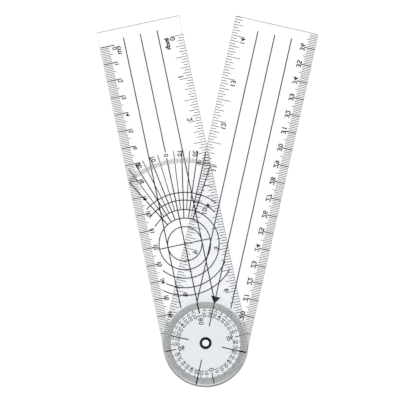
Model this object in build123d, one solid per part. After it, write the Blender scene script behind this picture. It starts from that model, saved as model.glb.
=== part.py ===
"""A two-arm goniometer of clear sheet plastic, lying flat, with its arms part open.

Both arms are cut to one outline: square at the free end and round at the pivot end. They lie face to
face and turn on a hollow metal eyelet, which is set through both of them and rolled over a washer.
Sizes are in millimetres and angles in degrees. The origin is on the pivot axis, in the plane of the dial
arm's underside. The dial arm lies along +Y above that plane, and the pointer arm lies just below it.
"""

import os

from build123d import *

# The arms
ARM_WIDTH = 49.5
PIVOT_TO_FREE_END = 190.0
ROUND_CENTRE_PAST_PIVOT = 1.0
SHEET_THICKNESS = 1.0
FREE_CORNER_RADIUS = 0.8
EDGE_BREAK = 0.12
OPENING = 24.7

# The eyelet, formed from thin tube
EYELET_BORE = 3.9
EYELET_WALL = 0.3
FLANGE_DIAMETER = 7.1
FLANGE_RISE = 0.65
CLINCH_DIAMETER = 6.0
CLINCH_RISE = 0.5

# The most of a roll's overhang that its lip takes up, and of its rise that its crown takes up
LIP_SHARE = 0.4
CROWN_SHARE = 0.6

# The washer that the eyelet is rolled over
WASHER_DIAMETER = 6.9
WASHER_THICKNESS = 0.35

# Clearances: the first two are radial, and the third lies between the arms' faces
ARM_ON_EYELET = 0.05
WASHER_ON_EYELET = 0.05
BETWEEN_ARMS = 0.05

BARREL_RADIUS = EYELET_BORE / 2 + EYELET_WALL
ARM_HOLE_RADIUS = BARREL_RADIUS + ARM_ON_EYELET
FLANGE_SEAT = SHEET_THICKNESS
POINTER_ARM_UNDERSIDE = -BETWEEN_ARMS - SHEET_THICKNESS
CLINCH_SEAT = POINTER_ARM_UNDERSIDE - WASHER_THICKNESS


def arm_blank():
    """One arm along +Y, with its pivot hole at the origin and its underside at z = 0."""
    half_width = ARM_WIDTH / 2
    round_centre = -ROUND_CENTRE_PAST_PIVOT
    with BuildPart() as arm:
        with BuildSketch():
            with BuildLine():
                Polyline(
                    (half_width, round_centre),
                    (half_width, PIVOT_TO_FREE_END),
                    (-half_width, PIVOT_TO_FREE_END),
                    (-half_width, round_centre),
                )
                CenterArc((0, round_centre), half_width, 180, 180)
            outline = make_face()
            fillet(outline.vertices().sort_by(Axis.Y)[-2:], FREE_CORNER_RADIUS)
        extrude(amount=SHEET_THICKNESS)
        faces = arm.faces().sort_by(Axis.Z)
        chamfer(faces[0].edges() + faces[-1].edges(), EDGE_BREAK)
        with BuildSketch():
            Circle(ARM_HOLE_RADIUS)
        extrude(amount=SHEET_THICKNESS, mode=Mode.SUBTRACT)
    return arm.part


def rolled_wall(seat, outer_diameter, rise, sweep):
    """The section of a wall that rolls over from the bore and lands flat at seat, in an open sketch.

    A sweep of 180 degrees rolls it over upwards and one of -180 rolls it over downwards. The metal is
    as thick as the tube, or thinner where the roll has no room for that.
    """
    landing = outer_diameter / 2
    lip = min(EYELET_WALL, LIP_SHARE * (landing - BARREL_RADIUS))
    crown = min(EYELET_WALL, CROWN_SHARE * rise)
    half_roll = (landing - EYELET_BORE / 2) / 2
    half_hollow = (landing - lip - BARREL_RADIUS) / 2
    EllipticalCenterArc((landing - half_roll, seat), half_roll, rise, arc_size=sweep)
    EllipticalCenterArc((BARREL_RADIUS + half_hollow, seat), half_hollow, rise - crown, arc_size=sweep)
    Line((landing - lip, seat), (landing, seat))


def rolled_eyelet():
    """A thin tube with a domed flange on the dial arm and its other end rolled over the washer."""
    bore_radius = EYELET_BORE / 2
    with BuildPart() as eyelet:
        with BuildSketch(Plane.XZ):
            with BuildLine():
                rolled_wall(FLANGE_SEAT, FLANGE_DIAMETER, FLANGE_RISE, 180)
                rolled_wall(CLINCH_SEAT, CLINCH_DIAMETER, CLINCH_RISE, -180)
                Line((bore_radius, CLINCH_SEAT), (bore_radius, FLANGE_SEAT))
                Line((BARREL_RADIUS, CLINCH_SEAT), (BARREL_RADIUS, FLANGE_SEAT))
            make_face()
        revolve(axis=Axis.Z)
    return eyelet.part


def flat_washer():
    """The flat ring between the pointer arm and the eyelet's rolled end."""
    with BuildPart() as washer:
        with BuildSketch(Plane.XY.offset(CLINCH_SEAT)):
            Circle(WASHER_DIAMETER / 2)
            Circle(BARREL_RADIUS + WASHER_ON_EYELET, mode=Mode.SUBTRACT)
        extrude(amount=WASHER_THICKNESS)
    return washer.part


nodes = {
    "dial_arm": arm_blank(),
    "pointer_arm": Pos(0, 0, POINTER_ARM_UNDERSIDE) * Rot(0, 0, -OPENING) * arm_blank(),
    "eyelet": rolled_eyelet(),
    "eyelet_washer": flat_washer(),
}

os.makedirs("parts", exist_ok=True)
for name, shape in nodes.items():
    export_step(shape, f"parts/{name}.step")
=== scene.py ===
# %% [markdown]
# A clear goniometer with two printed arms
#
# A goniometer measures how far a joint of the body bends. This one is two strips of clear plastic that
# turn face to face on a hollow eyelet. The CAD model already holds both strips, the eyelet and its
# washer at their real size, so this lesson moves and resizes nothing. What it adds is what makes the
# instrument look like one: clear plastic, a glossy black eyelet, and about 1,200 printed strokes and
# numbers. The first cell loads the CAD model, and everything else is built around it.

# %% Load the CAD model
import math

import bmesh
import bpy
from mathutils import Matrix, Vector


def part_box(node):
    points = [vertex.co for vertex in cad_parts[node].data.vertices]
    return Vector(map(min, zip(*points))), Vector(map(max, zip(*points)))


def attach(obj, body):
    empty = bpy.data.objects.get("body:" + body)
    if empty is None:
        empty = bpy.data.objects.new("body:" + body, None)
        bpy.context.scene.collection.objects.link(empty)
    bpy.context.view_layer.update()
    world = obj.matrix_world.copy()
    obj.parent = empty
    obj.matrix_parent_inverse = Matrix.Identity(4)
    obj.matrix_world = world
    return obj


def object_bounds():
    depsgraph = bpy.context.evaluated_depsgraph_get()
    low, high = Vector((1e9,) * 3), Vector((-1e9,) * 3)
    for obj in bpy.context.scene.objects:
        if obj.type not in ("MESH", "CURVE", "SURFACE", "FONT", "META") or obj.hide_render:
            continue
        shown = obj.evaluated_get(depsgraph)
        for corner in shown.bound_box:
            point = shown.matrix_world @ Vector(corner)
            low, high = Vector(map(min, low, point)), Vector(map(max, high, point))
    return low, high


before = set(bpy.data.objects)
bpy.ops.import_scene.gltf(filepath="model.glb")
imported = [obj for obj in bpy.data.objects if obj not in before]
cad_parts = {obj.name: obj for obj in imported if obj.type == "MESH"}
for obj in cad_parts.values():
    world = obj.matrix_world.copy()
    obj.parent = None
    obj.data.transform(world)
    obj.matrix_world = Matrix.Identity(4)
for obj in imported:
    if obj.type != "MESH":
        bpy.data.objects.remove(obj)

MM = 0.001
cad_box = [list(corner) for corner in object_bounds()]
print("CAD box in mm:", [[round(value / MM, 2) for value in corner] for corner in cad_box])

# %% [markdown]
# The printing has to follow the arms' outlines, so the outline is read from the model. The dial arm
# lies along Y, and its box gives the half width, the free end and, because the pivot end is a half
# circle, the centre of that circle. The pointer arm is cut to the same outline and turned about the
# pivot. The boxes also say at what height each arm's upper face lies.

# %% Read the arms' outline
OPENING = math.radians(24.7)

dial_low, dial_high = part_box("dial_arm")
pointer_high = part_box("pointer_arm")[1]
HALF_WIDTH = dial_high.x / MM
FREE_END = dial_high.y / MM
ROUND_CENTRE = dial_low.y / MM + HALF_WIDTH
DIAL_FACE = dial_high.z / MM
POINTER_FACE = pointer_high.z / MM
print(f"half width {HALF_WIDTH:.2f}, free end {FREE_END:.2f}, round centre {ROUND_CENTRE:.2f} mm")

# %% [markdown]
# The photograph looks straight down from well above, and the arms lean 12 degrees to the left and 12.7
# to the right of its upright. A long lens at 1.2 m gives the same flat view. Turning the camera, and
# not the model, keeps the model in its own frame.

# %% Place the camera
CAMERA_HEIGHT = 1.2
FIELD_WIDTH = 233.0 * MM
LEAN = math.radians(12.0)
PICTURE_CENTRE = Vector((-3.26 * MM, 83.3 * MM, CAMERA_HEIGHT))

camera_data = bpy.data.cameras.new("camera")
camera_data.sensor_width = 36.0
camera_data.lens = camera_data.sensor_width * CAMERA_HEIGHT / FIELD_WIDTH
camera = bpy.data.objects.new("camera", camera_data)
camera.matrix_world = Matrix.Rotation(-LEAN, 4, "Z") @ Matrix.Translation(PICTURE_CENTRE)
bpy.context.scene.collection.objects.link(camera)
bpy.context.scene.camera = camera
bpy.context.scene.view_settings.view_transform = "Standard"
print(f"camera with a {camera_data.lens:.0f} mm lens")

# %% [markdown]
# Materials are node trees, and their maths reads badly as a list of nodes and links. So one small class
# stands for the end of a wire. Sums, products and powers of wires add Math nodes by themselves, and one
# method adds any other node: its settings are set first, and then its sockets.

# %% A wire that does sums
class Wire:
    """One socket of a material's node tree, which can be used in sums like a number."""

    def __init__(self, tree, socket=None):
        self.tree = tree
        self.socket = socket

    def node(self, kind, settings=None, sockets=None, gives=None):
        """Add a node of this kind and give the wire from the output that is named."""
        made = self.tree.nodes.new(kind)
        for name, value in (settings or {}).items():
            setattr(made, name, value)
        for name, value in (sockets or {}).items():
            if isinstance(value, Wire):
                self.tree.links.new(value.socket, made.inputs[name])
            else:
                made.inputs[name].default_value = value
        return Wire(self.tree, made.outputs[gives]) if gives is not None else None

    def math(self, operation, first, second=0.0):
        """The result of one Math node on one or two values."""
        return self.node("ShaderNodeMath", {"operation": operation}, {0: first, 1: second}, "Value")

    def __add__(self, other):
        return self.math("ADD", self, other)

    def __sub__(self, other):
        return self.math("SUBTRACT", self, other)

    def __mul__(self, other):
        return self.math("MULTIPLY", self, other)

    def __pow__(self, power):
        return self.math("POWER", self, power)

    def __rsub__(self, other):
        return self.math("SUBTRACT", other, self)

    __radd__ = __add__
    __rmul__ = __mul__

    def lower(self, other):
        """The smaller of two values."""
        return self.math("MINIMUM", self, other)

    def higher(self, other):
        """The larger of two values."""
        return self.math("MAXIMUM", self, other)

    def sibling(self, name):
        """Another output of the node that this wire comes from."""
        return Wire(self.tree, self.socket.node.outputs[name])

    def fade(self, near, far):
        """1 where this value is at most near, 0 where it is at least far, and smooth between."""
        ends = {"Value": self, "From Min": near, "From Max": far, "To Min": 1.0, "To Max": 0.0}
        return self.node("ShaderNodeMapRange", {"interpolation_type": "SMOOTHSTEP"}, ends, "Result")

    def blend(self, without, full):
        """A mix of two colours, with this value as the share of the second."""
        made = self.tree.nodes.new("ShaderNodeMix")
        made.data_type = "RGBA"
        # The node has sockets of the same names for each type of data, and only one set is enabled.
        sockets = {s.name: s for s in made.inputs if s.enabled}
        for name, value in {"Factor": self, "A": without, "B": full}.items():
            if isinstance(value, Wire):
                self.tree.links.new(value.socket, sockets[name])
            else:
                sockets[name].default_value = value if name == "Factor" else (*value, 1.0)
        return Wire(self.tree, next(s for s in made.outputs if s.enabled))


# %% Start and finish a material
def new_material(name):
    """An empty material, and a wire from which its nodes are added."""
    material = bpy.data.materials.new(name)
    material.use_nodes = True
    material.node_tree.nodes.clear()
    return material, Wire(material.node_tree)


def surface(start, **sockets):
    """A Principled shader with these sockets, wired to the material's output."""
    named = {name.replace("_", " "): value for name, value in sockets.items()}
    shader = start.node("ShaderNodeBsdfPrincipled", sockets=named, gives="BSDF")
    start.node("ShaderNodeOutputMaterial", sockets={"Surface": shader})


def noise(start, place, scale, detail=3.0):
    """A smooth noise from 0 to 1, with its scale in cells per unit of place."""
    return start.node(
        "ShaderNodeTexNoise", sockets={"Vector": place, "Scale": scale, "Detail": detail}, gives="Fac"
    )


def bumps(start, height, depth):
    """A normal that follows a height from 0 to 1, with its depth in metres."""
    return start.node(
        "ShaderNodeBump", sockets={"Height": height, "Distance": depth, "Strength": 1.0}, gives="Normal"
    )


def place_in_mm(start, turn=0.0):
    """Where a point of the model is, in millimetres, with the model turned back by an angle."""
    here = start.node("ShaderNodeTexCoord", gives="Object")
    sockets = {"Vector": here, "Rotation": (0.0, 0.0, turn), "Scale": (1 / MM,) * 3}
    return start.node("ShaderNodeMapping", sockets=sockets, gives="Vector")


def x_and_y(place):
    """The first two numbers of a place, as two wires."""
    x = place.node("ShaderNodeSeparateXYZ", sockets={"Vector": place}, gives="X")
    return x, x.sibling("Y")


def distance(x, y):
    """How far a point with this x and y is from the origin."""
    return (x * x + y * y) ** 0.5


print("material tools are ready")

# %% [markdown]
# The arms are cut from clear sheet with a very faint blue-grey tint. One layer looks white over white
# paper, and the tint only shows where the arms overlap, so it has to be a real property of the plastic:
# a glass-like surface whose colour filters the light on its way through. Three things keep it from
# looking like a drawing. The cut edge is hazy, and a grey painted along the outline stands in for the
# dark line that the edge draws by refraction, as painted shade, so the arm's outline shows as a thin grey
# line. A darker tint painted near the pivot stands in for shade there. And fine scuffs vary the gloss.
# The outline comes from a formula for the distance to the edge, in the arm's own frame. At the round end
# the painted edge shade is a line a little way in from the edge, with a fainter one inside it.

# %% Clear sheet
def clear_sheet(name, turn):
    """Clear plastic for an arm that is turned clockwise by this angle."""
    CLEAR = (0.957, 0.965, 0.979)
    # Painted shade: the darker tint that is painted near the pivot.
    PIVOT_SHADE_TINT = (0.908, 0.922, 0.931)
    # Painted shade: the grey painted along the outline in place of the dark line the cut edge draws.
    PAINTED_EDGE_GREY = (0.36, 0.36, 0.355)
    SIDE_SHARE = 0.42
    END_SHARE = 0.85
    CLEAR_RIM_SHARE = 0.85
    FAINT_SHARE = 0.07
    # How far in from the edge each band of painted edge shade starts to fade, and how far in it is gone,
    # in millimetres.
    SIDE_EDGE_SHADE = (0.30, 0.60)
    END_EDGE_SHADE = (0.30, 0.65)
    ROUND_EDGE_SHADE = (0.70, 0.90)
    CLEAR_RIM = (0.28, 0.50)
    FAINT_EDGE_SHADE = (1.40, 1.80)
    # The heights between which the round end's painted edge shade fades, and the distances from the pivot
    # between which the darker tint painted as shade near the pivot fades.
    ROUND_END = (ROUND_CENTRE - 8.0, ROUND_CENTRE - 1.0)
    PIVOT_SHADE_ZONE = (23.0, 33.0)
    material, start = new_material(name)
    place = place_in_mm(start, turn)
    x, y = x_and_y(place)
    from_side = HALF_WIDTH - distance(x, (y - ROUND_CENTRE).lower(0.0))
    # The edge's share of painted edge shade is 0 in clear plastic, and at each point the strongest
    # counts.
    edge = SIDE_SHARE * from_side.fade(*SIDE_EDGE_SHADE)
    edge = edge.higher(END_SHARE * (FREE_END - y).fade(*END_EDGE_SHADE))
    at_round_end = y.fade(*ROUND_END)
    line = from_side.fade(*ROUND_EDGE_SHADE) - CLEAR_RIM_SHARE * from_side.fade(*CLEAR_RIM)
    edge = edge.higher(at_round_end * line)
    edge = edge.higher(at_round_end * FAINT_SHARE * from_side.fade(*FAINT_EDGE_SHADE))
    # Painted shade: 1 near the pivot, where the darker tint is painted, and 0 from 33 mm out.
    near_pivot = distance(x, y).fade(*PIVOT_SHADE_ZONE)
    cloud = noise(start, place, 0.035, 2.0)
    scuffs = noise(start, place, 0.9, 8.0)
    body = near_pivot.blend(CLEAR, PIVOT_SHADE_TINT)
    surface(
        start,
        # The base colour carries painted shade: grey along the outline and a darker tint near the pivot.
        Base_Color=edge.blend(body, PAINTED_EDGE_GREY),
        Roughness=0.015 + 0.03 * cloud + 0.02 * scuffs + 0.25 * edge,
        Normal=bumps(start, scuffs, 2.0e-6),
        Transmission_Weight=1.0,
        IOR=1.49,
    )
    return material


dial_plastic = clear_sheet("dial_arm_plastic", 0.0)
pointer_plastic = clear_sheet("pointer_arm_plastic", OPENING)
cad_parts["dial_arm"].material_slots[0].material = dial_plastic
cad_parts["pointer_arm"].material_slots[0].material = pointer_plastic
print("clear sheet on both arms")

# %% [markdown]
# The eyelet is a thin tube of metal, rolled over at both ends and coated in gloss black. The coating is
# a dark shader with a clear coat over it. Where the crown of the roll is rubbed by use, the gloss turns
# a little duller and the black a little greyer. The washer under it is plain plated steel, and its fine
# turning marks run round the hole, so they follow the distance from the pivot.

# %% Eyelet and washer
def black_coating():
    """Gloss black, rubbed a little greyer along the crown of the eyelet's roll."""
    BLACK = (0.003, 0.003, 0.0035)
    RUBBED = (0.016, 0.017, 0.016)
    CROWN_RADIUS = 2.75
    RUBBED_REACH = 0.5
    material, start = new_material("eyelet_black")
    place = place_in_mm(start)
    from_crown = start.math("ABSOLUTE", distance(*x_and_y(place)) - CROWN_RADIUS)
    rubbed = from_crown.fade(0.0, RUBBED_REACH) * noise(start, place, 1.1)
    grain = noise(start, place, 9.0, 5.0)
    surface(
        start,
        Base_Color=rubbed.blend(BLACK, RUBBED),
        Roughness=0.16 + 0.22 * rubbed + 0.08 * grain,
        Normal=bumps(start, grain, 3.0e-6),
        Specular_IOR_Level=0.3,
        Coat_Weight=0.1,
        Coat_Roughness=0.12,
    )
    return material


def plated_steel():
    """Plain steel with fine turning marks and a few duller stains."""
    BRIGHT = (0.62, 0.61, 0.59)
    STAINED = (0.46, 0.46, 0.45)
    material, start = new_material("washer_steel")
    place = place_in_mm(start)
    radius = distance(*x_and_y(place))
    rings = start.node("ShaderNodeCombineXYZ", sockets={"X": radius}, gives="Vector")
    turned = noise(start, rings, 14.0, 4.0)
    stain = noise(start, place, 0.7)
    surface(
        start,
        Base_Color=stain.blend(BRIGHT, STAINED),
        Metallic=1.0,
        Roughness=0.24 + 0.16 * turned,
        Normal=bumps(start, turned, 4.0e-6),
    )
    return material


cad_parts["eyelet"].material_slots[0].material = black_coating()
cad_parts["eyelet_washer"].material_slots[0].material = plated_steel()
print("black eyelet and steel washer")

# %% [markdown]
# The printing is screen-printed ink: a film about 0.02 mm thick that is nearly black and slightly
# uneven, since the screen's mesh leaves a faint texture in it. One material serves every stroke.

# %% Printed ink
def screen_ink():
    """Matt black ink that covers a little unevenly."""
    DEEP = (0.0015, 0.0018, 0.002)
    THIN = (0.007, 0.0075, 0.008)
    material, start = new_material("printed_ink")
    place = place_in_mm(start)
    cover = noise(start, place, 2.2, 4.0)
    mesh_marks = noise(start, place, 11.0, 2.0)
    surface(
        start,
        Base_Color=cover.blend(DEEP, THIN),
        Roughness=0.34 + 0.2 * mesh_marks,
        Normal=bumps(start, mesh_marks, 2.0e-6),
        Specular_IOR_Level=0.15,
    )
    return material


ink = screen_ink()
print("black printing ink")

# %% [markdown]
# Now the drawing tools. A printed stroke could be a texture, but then its edge would blur close up and
# the exported mesh would have nothing there. So each stroke is a thin closed solid. All of them are
# drawn on one sheet, as on a drawing board: in millimetres, in the arm's own frame with the pivot at the
# origin and the free end up, and one unit thick. Seen from afar, a thin line is paler than its ink, so
# each width is chosen to look as dark as in the photograph, and is wider than the real line.
#
# The photograph shows the back of the instrument, where the lettering reads mirrored. It's easier to
# draw the right way round and turn the sheet over afterwards, so x on the board runs the other way from
# x on the model.

# %% Strokes
DEGREES_A_STEP = 3


def bar(board, start, end, width):
    """A straight stroke from one point to another."""
    start, end = Vector(start), Vector(end)
    run = end - start
    shape = (
        Matrix.Translation((*(start + end) / 2, 0.5))
        @ Matrix.Rotation(math.atan2(run.y, run.x), 4, "Z")
        @ Matrix.Diagonal((run.length, width, 1.0, 1.0))
    )
    bmesh.ops.create_cube(board, size=1.0, matrix=shape)


def compass(board, centre, radius, start, end, width):
    """A stroke along a circle, from one angle to another, in degrees from the arm's free end."""
    place = (
        Matrix.Translation((*centre, 0.5))
        @ Matrix.Rotation(math.radians(start), 4, "Z")
        @ Matrix.Translation((0.0, radius, 0.0))
        @ Matrix.Rotation(math.radians(90), 4, "Y")
        @ Matrix.Diagonal((1.0, width, 1.0, 1.0))
    )
    section = bmesh.ops.create_grid(board, x_segments=1, y_segments=1, size=0.5, matrix=place)["verts"]
    face = section[0].link_faces[0]
    edges = list(face.edges)
    bmesh.ops.delete(board, geom=[face], context="FACES_ONLY")
    closed = abs(end - start) >= 360
    made = bmesh.ops.spin(
        board,
        geom=edges + section,
        cent=(*centre, 0.0),
        axis=(0, 0, 1),
        angle=math.radians(end - start),
        steps=round(abs(end - start) / DEGREES_A_STEP),
        use_merge=closed,
    )
    if not closed:
        last = [e for e in made["geom_last"] if isinstance(e, bmesh.types.BMEdge)]
        for rim in (edges, last):
            bmesh.ops.edgeloop_fill(board, edges=rim)


# %% [markdown]
# Numbers and words start as Blender text, which is a curve. It is made a mesh at a size of one unit,
# then scaled so that its digits have the height that was asked for, turned and put in place. The same
# text is made only once and copied after that. A text's weight is how much bolder its curve is made.

# %% Lettering
DIGIT_HEIGHT = 0.7
BOLDEST_FOUR = 0.012
letter_meshes = {}


def middle_of(mesh):
    """The middle of the box round a mesh."""
    axes = zip(*(v.co for v in mesh.vertices))
    return Vector([(min(axis) + max(axis)) / 2 for axis in axes])


def letters(text, weight):
    """A mesh of this text, centred over the origin, one unit thick and with digits one unit high."""
    # The font's 4 fills in when it is made bold, so it stays lighter than the other digits.
    weight = min(weight, BOLDEST_FOUR) if "4" in text else weight
    key = (text, weight)
    if key in letter_meshes:
        return letter_meshes[key]
    curve = bpy.data.curves.new("lettering", "FONT")
    curve.body = text
    curve.resolution_u = 2
    curve.offset = weight
    curve.extrude = 0.5
    holder = bpy.data.objects.new("lettering", curve)
    bpy.context.scene.collection.objects.link(holder)
    bpy.context.view_layer.update()
    shaped = holder.evaluated_get(bpy.context.evaluated_depsgraph_get())
    mesh = bpy.data.meshes.new_from_object(shaped)
    bpy.data.objects.remove(holder)
    size = 1 / DIGIT_HEIGHT
    lift = Vector((0, 0, 0.5))
    mesh.transform(Matrix.Diagonal((size, size, 1, 1)) @ Matrix.Translation(lift - middle_of(mesh)))
    letter_meshes[key] = mesh
    return mesh


def stamp(board, text, middle, turn, height, stretch=1.0, weight=0.02):
    """Print a text with its middle at a point, turned anticlockwise by an angle in degrees."""
    before = set(board.verts)
    board.from_mesh(letters(text, weight))
    new = [v for v in board.verts if v not in before]
    place = (
        Matrix.Translation((*middle, 0.0))
        @ Matrix.Rotation(math.radians(turn), 4, "Z")
        @ Matrix.Diagonal((height * stretch, height, 1.0, 1.0))
    )
    bmesh.ops.transform(board, matrix=place, verts=new)


# %% [markdown]
# When a board is full it becomes a piece. The sheet is turned over, brought down to metres, given the
# film's real thickness and laid on its arm. The film sinks a few micrometres into the plastic, as ink
# that bites into it does, so no two faces lie in one plane.

# %% From the drawing board to the arm
FILM = 0.02
BITE = 0.004
WELD = 1e-4

# The height of the face that is printed, and how far the arm is turned.
ARMS = {
    "dial_side": (DIAL_FACE, 0.0),
    "pointer_side": (POINTER_FACE, -OPENING),
}


def print_on(board, name, body, off_centre=0.0):
    """Make a board into a printed piece on the arm of this body, moved along the model's x."""
    level, turn = ARMS[body]
    place = (
        Matrix.Diagonal((MM, MM, MM, 1.0))
        @ Matrix.Rotation(turn, 4, "Z")
        @ Matrix.Translation((off_centre, 0.0, level - BITE))
        @ Matrix.Diagonal((-1.0, 1.0, FILM, 1.0))
    )
    bmesh.ops.remove_doubles(board, verts=board.verts, dist=WELD)
    bmesh.ops.transform(board, matrix=place, verts=board.verts)
    bmesh.ops.recalc_face_normals(board, faces=board.faces)
    mesh = bpy.data.meshes.new(name)
    board.to_mesh(mesh)
    board.free()
    mesh.materials.append(ink)
    piece = bpy.data.objects.new(name, mesh)
    bpy.context.scene.collection.objects.link(piece)
    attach(piece, body)
    print(f"{name}: {len(mesh.polygons)} faces")


# %% [markdown]
# Both arms carry a centimetre scale on one long edge and an inch scale on the other. A millimetre scale
# is one short stroke a millimetre, a longer one every five, and the longest with a number every ten. The
# dial arm counts from 0 near its free end down to the pivot. The pointer arm carries on from there, up
# to 36 at its own free end. Both scales have their 18 cm, or 7 inch, mark just above the pivot. As on
# the real instrument, the print lies a little off the middle of each arm.

# %% Scale marks
PIVOT_CM = 18
PIVOT_INCH = 7
SCALE_LIFT = 0.7
CM = 10.0
INCH = 25.4
# An inch, a half, a quarter, an eighth and a sixteenth, in sixteenths.
INCH_PARTS = (16, 8, 4, 2, 1)
DIAL_OFF_CENTRE = 0.18
POINTER_OFF_CENTRE = -0.12
DIAL_MARGIN = 0.3
POINTER_MARGIN = 0.08
MM_TICK = 0.33
CM_TICK = 0.58
INCH_TICK = 0.35
DIAL_CLEARING = 24.3


def tick(board, side, y, outer, length, width):
    """A stroke of this length from the arm's edge, cut short where it would run into the dial."""
    inner = max(HALF_WIDTH - length, math.sqrt(max(DIAL_CLEARING**2 - y**2, 0.0)))
    if inner < outer:
        bar(board, (side * outer, y), (side * inner, y), width)


def centimetre_marks(board, side, margin, first, last, place, lengths):
    """Strokes for every 1, 5 and 10 mm along the edge at this side, from one count of cm to another."""
    one, five, ten = lengths
    for count in range(round(first * 10), round(last * 10) + 1):
        length, width = one, MM_TICK
        if count % 10 == 0:
            length, width = ten, CM_TICK
        elif count % 5 == 0:
            length = five
        tick(board, side, place(count / 10), HALF_WIDTH - margin, length, width)


def inch_marks(board, side, margin, first, last, place, lengths):
    """Strokes for every inch, half, quarter, eighth and sixteenth along the edge at this side."""
    for count in range(round(first * 16), round(last * 16) + 1):
        rank = next(i for i, parts in enumerate(INCH_PARTS) if count % parts == 0)
        tick(board, side, place(count / 16), HALF_WIDTH - margin, lengths[rank], INCH_TICK)


# %% [markdown]
# The dial arm's scales read from the free end towards the pivot, so their numbers lie on their side, with
# their tops towards the centimetre edge. On the board that edge is at the right. A number hangs a little
# below its centimetre mark, or stands above its inch mark, and each 0 has a place of its own.

# %% Dial arm centimetre scale
DOWN_THE_ARM = -90.0
CM_SIDE = 1
DIAL_CM_TICKS = (5.4, 6.7, 8.6)
DIAL_CM_HEIGHT = 2.65
DIAL_CM_ACROSS = 16.95
ONE_DIGIT_DROP = 1.3
TWO_DIGITS_DROP = 0.3
CM_ZERO_ACROSS = 16.3
CM_ZERO_DROP = 1.9
CM_WORD_ACROSS = 13.9
CM_WORD_COUNT = 0.33


def dial_cm(count):
    """The height above the pivot of the dial arm's mark for a count of centimetres."""
    return CM * (PIVOT_CM - count) + SCALE_LIFT


board = bmesh.new()
centimetre_marks(board, CM_SIDE, DIAL_MARGIN, 0, PIVOT_CM, dial_cm, DIAL_CM_TICKS)
place = (CM_SIDE * CM_ZERO_ACROSS, dial_cm(0) - CM_ZERO_DROP)
stamp(board, "0", place, DOWN_THE_ARM, DIAL_CM_HEIGHT)
for count in range(1, 17):
    drop = ONE_DIGIT_DROP if count < 10 else TWO_DIGITS_DROP
    place = (CM_SIDE * DIAL_CM_ACROSS, dial_cm(count) - drop)
    stamp(board, str(count), place, DOWN_THE_ARM, DIAL_CM_HEIGHT)
place = (CM_SIDE * CM_WORD_ACROSS, dial_cm(CM_WORD_COUNT))
stamp(board, "cm", place, DOWN_THE_ARM, height=3.0, weight=0.025)
print_on(board, "dial_arm_centimetre_scale", "dial_side", DIAL_OFF_CENTRE)

# %% Dial arm inch scale
DIAL_INCH_TICKS = (7.8, 7.6, 6.1, 4.9, 3.8)
DIAL_INCH_HEIGHT = 3.05
DIAL_INCH_ACROSS = 17.8
INCH_RISE = 1.5
INCH_ZERO_DROP = 1.3
INCH_WORD_ACROSS = 14.2
INCH_WORD_COUNT = 0.14


def dial_inch(count):
    """The height above the pivot of the dial arm's mark for a count of inches."""
    return INCH * (PIVOT_INCH - count) + SCALE_LIFT


board = bmesh.new()
inch_marks(board, -CM_SIDE, DIAL_MARGIN, 0, PIVOT_INCH, dial_inch, DIAL_INCH_TICKS)
for count in range(PIVOT_INCH):
    rise = INCH_RISE if count else -INCH_ZERO_DROP
    place = (-CM_SIDE * DIAL_INCH_ACROSS, dial_inch(count) + rise)
    stamp(board, str(count), place, DOWN_THE_ARM, DIAL_INCH_HEIGHT)
place = (-CM_SIDE * INCH_WORD_ACROSS, dial_inch(INCH_WORD_COUNT))
stamp(board, "inch", place, DOWN_THE_ARM, height=2.6, stretch=1.12, weight=0.05)
print_on(board, "dial_arm_inch_scale", "dial_side", DIAL_OFF_CENTRE)

# %% [markdown]
# Three long lines run down each arm. The middle one is the line that is laid along the bone, and the
# outer two are there to keep it straight by eye. On the dial arm the middle line breaks for the fan's 0
# and passes through the fan into the dial.

# %% Long lines on both arms
LINE_WIDTH = 0.62
LINE_SPACING = 10.0
LINE_TOP = FREE_END - 6.0
FAN_CENTRE = (0.0, 59.0)
RAY_END = 54.4
ZERO_RAY_END = 51.0
ZERO_RAY_FOOT = 17.8


def long_lines(board, outer_foot, middle_foot):
    """Three lines from the free end of an arm down to these heights above the pivot."""
    for side in (-1, 1):
        bar(board, (side * LINE_SPACING, LINE_TOP), (side * LINE_SPACING, outer_foot), LINE_WIDTH)
    bar(board, (0.0, LINE_TOP), (0.0, middle_foot), LINE_WIDTH)


board = bmesh.new()
long_lines(board, outer_foot=23.1, middle_foot=FAN_CENTRE[1] + RAY_END)
bar(board, (0.0, FAN_CENTRE[1] + ZERO_RAY_END), (0.0, ZERO_RAY_FOOT), LINE_WIDTH)
print_on(board, "dial_arm_long_lines", "dial_side", DIAL_OFF_CENTRE)

board = bmesh.new()
long_lines(board, outer_foot=22.7, middle_foot=27.2)
print_on(board, "pointer_arm_long_lines", "pointer_side", POINTER_OFF_CENTRE)

# %% [markdown]
# The fan is a small protractor for fingers and toes. Its circles are 10 to 30 mm in radius, and the
# outer ones are broken where the centimetre numbers are. Its rays run every 5 degrees to 30 on each side,
# with a band of single degrees across them. Every second ray is heavier and starts nearer the centre.

# %% Fan's circles
FAN_LINE = 0.58
WHOLE_CIRCLES = (10.0, 15.0)
BROKEN_CIRCLES = {
    20.0: [(-48, 232)],
    25.5: [(-42, 55), (125, 217)],
    30.0: [(-36, 49.5), (131, 217)],
}


def fan_point(radius, angle):
    """The point of the board at a radius from the fan's centre and degrees left of the free end."""
    turn = math.radians(angle)
    return (FAN_CENTRE[0] - radius * math.sin(turn), FAN_CENTRE[1] + radius * math.cos(turn))


board = bmesh.new()
for radius in WHOLE_CIRCLES:
    compass(board, FAN_CENTRE, radius, 0, 360, FAN_LINE)
bar(board, fan_point(WHOLE_CIRCLES[1], 90), fan_point(WHOLE_CIRCLES[1], -90), FAN_LINE)
for radius, arcs in BROKEN_CIRCLES.items():
    for first, last in arcs:
        compass(board, FAN_CENTRE, radius, first, last, FAN_LINE)
print("circles drawn on the fan's board")

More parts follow.
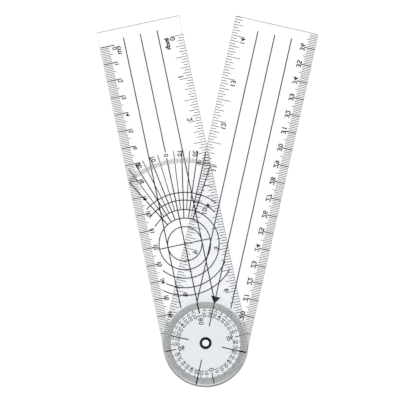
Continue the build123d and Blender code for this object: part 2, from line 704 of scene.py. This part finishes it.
# %% Fan's rays and numbers
HEAVY_RAY = 0.60
LIGHT_RAY = 0.48
FINE_RAY = 0.29
HEAVY_START = 15.0
LIGHT_START = 20.0
BAND = (47.3, 49.8)
FAN_REACH = HALF_WIDTH - 0.6
# Each number's reading, its distance from the fan's centre and its degrees left of the free end.
FAN_NUMBERS = [(0, 52.7, 0.0), (10, 52.5, -8.6), (10, 52.5, 8.6), (20, 52.9, -18.3), (20, 52.9, 18.3)]


def ray(board, start, end, angle, width):
    """A stroke away from the fan's centre, cut short at the edge of the arm."""
    across = abs(math.sin(math.radians(angle)))
    if across * end > FAN_REACH:
        end = FAN_REACH / across
    bar(board, fan_point(start, angle), fan_point(end, angle), width)


for angle in range(-30, 31, 5):
    if angle % 10:
        ray(board, LIGHT_START, RAY_END, angle, LIGHT_RAY)
    elif angle:
        ray(board, HEAVY_START, RAY_END, angle, HEAVY_RAY)
for angle in range(-30, 31):
    ray(board, *BAND, angle, FINE_RAY)
for reading, radius, angle in FAN_NUMBERS:
    place = fan_point(radius, angle)
    stamp(board, str(reading), place, DOWN_THE_ARM + angle, height=2.6, weight=0.022)
print_on(board, "angle_fan", "dial_side", DIAL_OFF_CENTRE)

# %% [markdown]
# The dial is a full circle of degrees about the pivot. It counts both ways, from 0 at the round end to
# 180 towards the free end, so that either side of the body can be measured. Its numbers run with the arm:
# those in the upper half read inwards and those in the lower half read outwards. The real strokes lie
# closer than the eye can part from afar, so their ring looks grey.

# %% Dial's ring
DEGREE_WIDTH = 0.186
TEN_WIDTH = 0.36
QUADRANT_WIDTH = 0.5
THIN_QUADRANT_WIDTH = 0.26
DEGREES = (20.3, 24.1)
TENS = (19.5, 20.5)
QUADRANTS = (17.5, 20.6)


def dial_point(radius, angle):
    """The point of the board at a radius from the pivot and degrees left of the free end."""
    turn = math.radians(angle)
    return (-radius * math.sin(turn), radius * math.cos(turn))


def dial_stroke(board, ends, angle, width):
    """A stroke away from the pivot, from one radius to another."""
    bar(board, dial_point(ends[0], angle), dial_point(ends[1], angle), width)


board = bmesh.new()
for angle in range(360):
    dial_stroke(board, DEGREES, angle, DEGREE_WIDTH)
for angle in range(0, 360, 10):
    dial_stroke(board, TENS, angle, TEN_WIDTH)
for angle in range(0, 360, 90):
    dial_stroke(board, QUADRANTS, angle, QUADRANT_WIDTH)
    # On the inch side the line gets thinner where it crosses the ring.
    width = THIN_QUADRANT_WIDTH if angle == 90 else QUADRANT_WIDTH
    dial_stroke(board, DEGREES, angle, width)
print("strokes drawn on the dial's board")

# %% Dial's numbers
INWARDS_RADIUS = 17.15
OUTWARDS_RADIUS = 17.4
DIAL_HEIGHT = 2.15
# Each large number's text, middle, turn, height and weight.
LARGE_NUMBERS = [
    ("180", (0.0, 13.6), DOWN_THE_ARM, 3.0, 0.005),
    ("0", (0.0, -15.8), DOWN_THE_ARM, 3.1, 0.005),
    ("90", (-14.4, -0.1), 0.0, 2.75, 0.018),
    ("90", (14.4, -0.1), 0.0, 2.75, 0.018),
]


def dial_number(board, reading, angle):
    """A number of the dial, which runs with the arm on either half."""
    if reading > 90:
        turn, radius = angle - 90, INWARDS_RADIUS
    else:
        turn, radius = angle + 90, OUTWARDS_RADIUS
    place = dial_point(radius, angle)
    stamp(board, str(reading), place, turn, DIAL_HEIGHT, stretch=1.05, weight=0.008)


for reading in range(10, 180, 10):
    if reading != 90:
        for side in (-1, 1):
            dial_number(board, reading, side * (180 - reading))
for text, middle, turn, size, weight in LARGE_NUMBERS:
    stamp(board, text, middle, turn, size, weight=weight)
print_on(board, "degree_dial", "dial_side")

# %% [markdown]
# The pointer arm's scales are made with the same tools. They read towards its free end, so on the board
# the centimetre edge is at the left.

# %% Pointer arm centimetre scale
UP_THE_ARM = 90.0
POINTER_CM_TICKS = (4.85, 6.3, 6.4)
POINTER_CM_END = 36.8
POINTER_CM_HEIGHT = 2.85
POINTER_CM_ACROSS = 17.45


def pointer_cm(count):
    """The height above the pivot of the pointer arm's mark for a count of centimetres."""
    return CM * (count - PIVOT_CM) + SCALE_LIFT


board = bmesh.new()
centimetre_marks(
    board, -CM_SIDE, POINTER_MARGIN, PIVOT_CM, POINTER_CM_END, pointer_cm, POINTER_CM_TICKS
)
for count in range(20, 37):
    place = (-CM_SIDE * POINTER_CM_ACROSS, pointer_cm(count))
    stamp(board, str(count), place, UP_THE_ARM, POINTER_CM_HEIGHT, stretch=1.15)
print_on(board, "pointer_arm_centimetre_scale", "pointer_side", POINTER_OFF_CENTRE)

# %% Pointer arm inch scale
POINTER_INCH_TICKS = (8.3, 8.2, 5.8, 4.8, 3.4)
POINTER_INCH_END = 14 + 7 / 16
POINTER_INCH_HEIGHT = 2.9
POINTER_INCH_ACROSS = 17.5
ONE_DIGIT_INCH_DROP = 1.4
TWO_DIGITS_INCH_DROP = 2.0


def pointer_inch(count):
    """The height above the pivot of the pointer arm's mark for a count of inches."""
    return INCH * (count - PIVOT_INCH) + SCALE_LIFT


board = bmesh.new()
inch_marks(
    board, CM_SIDE, POINTER_MARGIN, PIVOT_INCH, POINTER_INCH_END, pointer_inch, POINTER_INCH_TICKS
)
for count in range(8, 15):
    drop = ONE_DIGIT_INCH_DROP if count < 10 else TWO_DIGITS_INCH_DROP
    place = (CM_SIDE * POINTER_INCH_ACROSS, pointer_inch(count) - drop)
    stamp(board, str(count), place, UP_THE_ARM, POINTER_INCH_HEIGHT)
print_on(board, "pointer_arm_inch_scale", "pointer_side", POINTER_OFF_CENTRE)

# %% [markdown]
# The pointer is a solid triangle whose tip meets the dial. It is a prism with three sides, and Blender
# makes one as a cone with three segments and two equal ends. Four lines carry the pointer's direction,
# and the one square to it, across the dial. They start clear of the eyelet, and the one on the
# centimetre side is heavier where it crosses the ring.

# %% Pointer
TIP = 23.4
BASE = 27.7
HALF_BASE = 2.9
POINTER_LINE = 0.62
HEAVY_LINE = 0.85
EYELET_CLEARING = 9.9
FORWARD_END = TIP + 0.8
BACK_END = 25.0
CROSS_Y = -0.25
INCH_SIDE_END = 20.6
CM_SIDE_END = 24.2
HEAVY_PART = (19.8, 24.3)

# A prism with three sides has one corner at radius 1 and the opposite side at radius 1/2.
tall = (BASE - TIP) / 1.5
shape = (
    Matrix.Translation((0.0, TIP + tall, 0.5))
    @ Matrix.Rotation(math.radians(180), 4, "Z")
    @ Matrix.Diagonal((HALF_BASE / math.sin(math.radians(60)), tall, 1.0, 1.0))
)
board = bmesh.new()
bmesh.ops.create_cone(board, cap_ends=True, segments=3, radius1=1, radius2=1, depth=1, matrix=shape)
bar(board, (0.0, EYELET_CLEARING), (0.0, FORWARD_END), POINTER_LINE)
bar(board, (0.0, -EYELET_CLEARING), (0.0, -BACK_END), POINTER_LINE)
for side, start, end, width in (
    (CM_SIDE, EYELET_CLEARING, INCH_SIDE_END, POINTER_LINE),
    (-CM_SIDE, EYELET_CLEARING, CM_SIDE_END, POINTER_LINE),
    (-CM_SIDE, *HEAVY_PART, HEAVY_LINE),
):
    bar(board, (side * start, CROSS_Y), (side * end, CROSS_Y), width)
print_on(board, "pointer_mark", "pointer_side", POINTER_OFF_CENTRE)

# %% [markdown]
# The instrument lies on a plain white floor under soft studio light. The floor is level with the lowest
# point of the model. It takes light and shadow like a grey card, and adds a white of its own that only
# the camera sees, straight on, through the plastic or in a reflection. From below it is clear, so that
# the underside can be looked at.

# %% Floor
FLOOR_SIZE = 8.0
FLOOR_COLOUR = (0.28, 0.28, 0.28, 1.0)
FLOOR_GLOW = 0.90

floor_material, start = new_material("floor")
by_camera = start.node("ShaderNodeLightPath", gives="Is Camera Ray")
seen = by_camera.higher(by_camera.sibling("Is Glossy Ray"))
seen = seen.higher(by_camera.sibling("Is Transmission Ray"))
card = start.node("ShaderNodeBsdfDiffuse", sockets={"Color": FLOOR_COLOUR}, gives="BSDF")
glow = start.node("ShaderNodeEmission", sockets={"Strength": FLOOR_GLOW}, gives="Emission")
glowing = start.node("ShaderNodeAddShader", sockets={0: card, 1: glow}, gives=0)
upper_face = start.node("ShaderNodeMixShader", sockets={0: seen, 1: card, 2: glowing}, gives=0)
lower_face = start.node("ShaderNodeBsdfTransparent", gives="BSDF")
below = start.node("ShaderNodeNewGeometry", gives="Backfacing")
faces = start.node("ShaderNodeMixShader", sockets={0: below, 1: upper_face, 2: lower_face}, gives=0)
start.node("ShaderNodeOutputMaterial", sockets={"Surface": faces})

board = bmesh.new()
bmesh.ops.create_grid(board, x_segments=1, y_segments=1, size=FLOOR_SIZE / 2)
bmesh.ops.translate(board, verts=board.verts, vec=(0, 0, cad_box[0][2]))
floor_mesh = bpy.data.meshes.new("floor")
board.to_mesh(floor_mesh)
board.free()
floor_mesh.materials.append(floor_material)
floor = bpy.data.objects.new("floor", floor_mesh)
bpy.context.scene.collection.objects.link(floor)
print("floor at", round(cad_box[0][2] / MM, 2), "mm")

# %% [markdown]
# Two wide lamps and a grey world give an even light with a soft direction. They are set so that a grey
# card under them shows about its own grey. The lamps stand well to the sides and the world is nearly
# black overhead, because light from there would lie as a white veil on the plastic. To the camera, and
# through the plastic, the world is as white as the floor.

# %% Lamps
# Each lamp's place and size in metres, and its power in watts.
LAMPS = {
    "window_lamp": ((-0.9, 0.5, 1.1), 1.0, 7.5),
    "fill_lamp": ((1.0, -0.3, 0.9), 1.2, 4.0),
}

for name, (place, size, power) in LAMPS.items():
    lamp_data = bpy.data.lights.new(name, "AREA")
    lamp_data.size = size
    lamp_data.energy = power
    lamp = bpy.data.objects.new(name, lamp_data)
    lamp.location = place
    lamp.rotation_euler = (-Vector(place)).to_track_quat("-Z", "Y").to_euler()
    bpy.context.scene.collection.objects.link(lamp)
print("lamps:", ", ".join(LAMPS))

# %% World
OVERHEAD = (0.05, 0.05, 0.05)
ALL_ROUND = (0.8, 0.8, 0.8)
WHITE = (1.0, 1.0, 1.0, 1.0)
# The sine of the height in the sky at which the grey starts to darken, and at which it is darkest.
DARKENING = (0.35, 0.92)

world = bpy.data.worlds.new("studio")
world.use_nodes = True
world.node_tree.nodes.clear()
start = Wire(world.node_tree)
by_camera = start.node("ShaderNodeLightPath", gives="Is Camera Ray")
seen = by_camera.higher(by_camera.sibling("Is Transmission Ray"))
direction = start.node("ShaderNodeTexCoord", gives="Generated")
height = direction.node("ShaderNodeSeparateXYZ", sockets={"Vector": direction}, gives="Z")
grey = height.fade(*DARKENING).blend(OVERHEAD, ALL_ROUND)
sky = start.node("ShaderNodeBackground", sockets={"Color": grey}, gives="Background")
paper = start.node("ShaderNodeBackground", sockets={"Color": WHITE}, gives="Background")
mixed = start.node("ShaderNodeMixShader", sockets={0: seen, 1: sky, 2: paper}, gives=0)
start.node("ShaderNodeOutputWorld", sockets={"Surface": mixed})
bpy.context.scene.world = world
print("world:", world.name)
